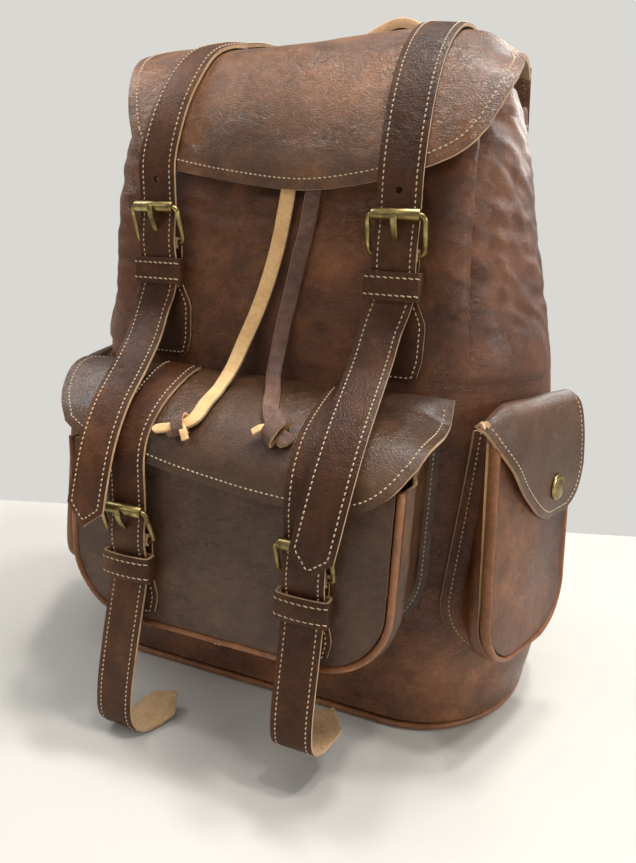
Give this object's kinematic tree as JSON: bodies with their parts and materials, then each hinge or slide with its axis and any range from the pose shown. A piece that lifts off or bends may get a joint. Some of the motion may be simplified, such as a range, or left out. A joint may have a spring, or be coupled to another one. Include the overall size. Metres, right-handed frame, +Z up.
{
  "type": "leather backpack",
  "caption": "Leather rucksack: drawstring sack closed by a flap with buckled straps, patch pockets at the front and sides, shoulder straps and a carry handle",
  "frame": {"origin": "On the ground under the middle of the sack, on the base panel's underside", "axes": "+Z up, -Y the front with the pockets, +X to the right as seen from the front"},
  "size_m": [0.4004, 0.2984, 0.4926],
  "materials": {
    "hide": "oiled pull-up leather, mottled brown",
    "strap_leather": "brown strap leather, raw light edges",
    "piping_leather": "rust brown piping",
    "suede_lace": "raw flesh side, tan",
    "brass": "antique brass"
  },
  "bodies": {
    "sack": {"back_panel": "hide", "base_panel": "hide", "base_piping": "piping_leather", "body_wrap": "hide", "drawstring": "suede_lace", "flap_chape_left": "strap_leather", "flap_chape_right": "strap_leather", "flap_keeper_left": "strap_leather", "flap_keeper_right": "strap_leather", "lace_left": "suede_lace", "lace_right": "suede_lace", "pocket_chape_left": "strap_leather", "pocket_chape_right": "strap_leather", "pocket_gusset": "hide", "pocket_keeper_left": "strap_leather", "pocket_keeper_right": "strap_leather", "pocket_panel": "hide", "pocket_piping": "piping_leather", "side_pocket_gusset_left": "hide", "side_pocket_gusset_right": "hide", "side_pocket_panel_left": "hide", "side_pocket_panel_right": "hide", "side_pocket_piping_left": "piping_leather", "side_pocket_piping_right": "piping_leather", "snap_socket_left": "brass", "snap_socket_right": "brass", "strap_anchor": "strap_leather"},
    "top_flap": {"main_flap": "hide", "flap_strap_left": "strap_leather", "flap_strap_right": "strap_leather"},
    "front_pocket_flap": {"pocket_flap": "hide", "pocket_strap_left": "strap_leather", "pocket_strap_right": "strap_leather"},
    "handle": {"carry_handle": "strap_leather"},
    "flap_tail_left": {"flap_strap_tail_left": "strap_leather"},
    "pocket_tail_left": {"pocket_strap_tail_left": "strap_leather"},
    "side_flap_left": {"side_pocket_flap_left": "hide", "snap_cap_left": "brass"},
    "flap_buckle_left": {"flap_buckle_frame_left": "brass"},
    "flap_roller_left": {"flap_buckle_roller_left": "brass"},
    "flap_prong_left": {"flap_buckle_prong_left": "brass"},
    "pocket_buckle_left": {"pocket_buckle_frame_left": "brass"},
    "pocket_roller_left": {"pocket_buckle_roller_left": "brass"},
    "pocket_prong_left": {"pocket_buckle_prong_left": "brass"},
    "shoulder_left": {"shoulder_strap_left": "strap_leather", "adjust_buckle_left": "brass", "adjust_strap_left": "strap_leather"},
    "flap_tail_right": {"flap_strap_tail_right": "strap_leather"},
    "pocket_tail_right": {"pocket_strap_tail_right": "strap_leather"},
    "side_flap_right": {"side_pocket_flap_right": "hide", "snap_cap_right": "brass"},
    "flap_buckle_right": {"flap_buckle_frame_right": "brass"},
    "flap_roller_right": {"flap_buckle_roller_right": "brass"},
    "flap_prong_right": {"flap_buckle_prong_right": "brass"},
    "pocket_buckle_right": {"pocket_buckle_frame_right": "brass"},
    "pocket_roller_right": {"pocket_buckle_roller_right": "brass"},
    "pocket_prong_right": {"pocket_buckle_prong_right": "brass"},
    "shoulder_right": {"shoulder_strap_right": "strap_leather", "adjust_buckle_right": "brass", "adjust_strap_right": "strap_leather"}
  },
  "joints": [
    {"name": "top_flap_hinge", "type": "hinge", "parent": "sack", "child": "top_flap", "pos_m": [0, 0.069, 0.453], "axis": [-1, 0, 0], "range_deg": [0, 92]},
    {"name": "pocket_flap_hinge", "type": "hinge", "parent": "sack", "child": "front_pocket_flap", "pos_m": [0, -0.0825, 0.235], "axis": [-1, 0, 0], "range_deg": [0, 65], "deforming": ["lace_left", "lace_right"]},
    {"name": "flap_tail_left_bend", "type": "hinge", "parent": "top_flap", "child": "flap_tail_left", "pos_m": [-0.0794, -0.08705, 0.36355], "axis": [-1, 0, 0], "range_deg": [-80, 0], "deforming": ["flap_strap_tail_left"]},
    {"name": "pocket_tail_left_bend", "type": "hinge", "parent": "front_pocket_flap", "child": "pocket_tail_left", "pos_m": [-0.0592, -0.15127, 0.19078], "axis": [-1, 0, 0], "range_deg": [-60, 0], "deforming": ["pocket_strap_tail_left"]},
    {"name": "side_flap_left_hinge", "type": "hinge", "parent": "sack", "child": "side_flap_left", "pos_m": [-0.15938, -0.03843, 0.233], "axis": [-0.3746, 0.9272, 0], "range_deg": [0, 95]},
    {"name": "flap_buckle_left_hinge", "type": "hinge", "parent": "sack", "child": "flap_buckle_left", "pos_m": [-0.0794, -0.0846, 0.3165], "axis": [1, 0, 0], "range_deg": [0, 40]},
    {"name": "flap_roller_left_spin", "type": "hinge", "parent": "flap_buckle_left", "child": "flap_roller_left", "pos_m": [-0.0794, -0.0936, 0.338], "axis": [1, 0, 0], "continuous": true},
    {"name": "flap_prong_left_hinge", "type": "hinge", "parent": "flap_buckle_left", "child": "flap_prong_left", "pos_m": [-0.0794, -0.0846, 0.3165], "axis": [1, 0, 0], "range_deg": [0, 55]},
    {"name": "pocket_buckle_left_hinge", "type": "hinge", "parent": "sack", "child": "pocket_buckle_left", "pos_m": [-0.0592, -0.1493, 0.137], "axis": [1, 0, 0], "range_deg": [0, 40]},
    {"name": "pocket_roller_left_spin", "type": "hinge", "parent": "pocket_buckle_left", "child": "pocket_roller_left", "pos_m": [-0.0592, -0.1583, 0.1585], "axis": [1, 0, 0], "continuous": true},
    {"name": "pocket_prong_left_hinge", "type": "hinge", "parent": "pocket_buckle_left", "child": "pocket_prong_left", "pos_m": [-0.0592, -0.1493, 0.137], "axis": [1, 0, 0], "range_deg": [0, 55]},
    {"name": "shoulder_left_swing", "type": "hinge", "parent": "sack", "child": "shoulder_left", "pos_m": [-0.034, 0.0845, 0.41], "axis": [-0.2364, 0, -0.9717], "range_deg": [-25, 25], "stiffness_Nm_per_rad": 0.4},
    {"name": "flap_tail_right_bend", "type": "hinge", "parent": "top_flap", "child": "flap_tail_right", "pos_m": [0.0794, -0.08727, 0.35967], "axis": [-1, 0, 0], "range_deg": [-80, 0], "deforming": ["flap_strap_tail_right"]},
    {"name": "pocket_tail_right_bend", "type": "hinge", "parent": "front_pocket_flap", "child": "pocket_tail_right", "pos_m": [0.0592, -0.15279, 0.17778], "axis": [-1, 0, 0], "range_deg": [-60, 0], "deforming": ["pocket_strap_tail_right"]},
    {"name": "side_flap_right_hinge", "type": "hinge", "parent": "sack", "child": "side_flap_right", "pos_m": [0.15938, -0.03843, 0.233], "axis": [-0.3746, -0.9272, 0], "range_deg": [0, 95]},
    {"name": "flap_buckle_right_hinge", "type": "hinge", "parent": "sack", "child": "flap_buckle_right", "pos_m": [0.0794, -0.0846, 0.3165], "axis": [1, 0, 0], "range_deg": [0, 40]},
    {"name": "flap_roller_right_spin", "type": "hinge", "parent": "flap_buckle_right", "child": "flap_roller_right", "pos_m": [0.0794, -0.0936, 0.338], "axis": [1, 0, 0], "continuous": true},
    {"name": "flap_prong_right_hinge", "type": "hinge", "parent": "flap_buckle_right", "child": "flap_prong_right", "pos_m": [0.0794, -0.0846, 0.3165], "axis": [1, 0, 0], "range_deg": [0, 55]},
    {"name": "pocket_buckle_right_hinge", "type": "hinge", "parent": "sack", "child": "pocket_buckle_right", "pos_m": [0.0592, -0.1493, 0.137], "axis": [1, 0, 0], "range_deg": [0, 40]},
    {"name": "pocket_roller_right_spin", "type": "hinge", "parent": "pocket_buckle_right", "child": "pocket_roller_right", "pos_m": [0.0592, -0.1583, 0.1585], "axis": [1, 0, 0], "continuous": true},
    {"name": "pocket_prong_right_hinge", "type": "hinge", "parent": "pocket_buckle_right", "child": "pocket_prong_right", "pos_m": [0.0592, -0.1493, 0.137], "axis": [1, 0, 0], "range_deg": [0, 55]},
    {"name": "shoulder_right_swing", "type": "hinge", "parent": "sack", "child": "shoulder_right", "pos_m": [0.034, 0.0845, 0.41], "axis": [0.2364, 0, -0.9717], "range_deg": [-25, 25], "stiffness_Nm_per_rad": 0.4},
    {"name": "handle_hinge", "type": "hinge", "parent": "sack", "child": "handle", "pos_m": [0, 0.08, 0.43], "axis": [-1, 0, 0], "range_deg": [0, 90], "stiffness_Nm_per_rad": 0.1}
  ],
  "couplings": [
    {"joint": "flap_tail_left_bend", "follows": "top_flap_hinge", "ratio": -0.8},
    {"joint": "pocket_tail_left_bend", "follows": "pocket_flap_hinge", "ratio": -0.8},
    {"joint": "flap_tail_right_bend", "follows": "top_flap_hinge", "ratio": -0.8},
    {"joint": "pocket_tail_right_bend", "follows": "pocket_flap_hinge", "ratio": -0.8}
  ]
}
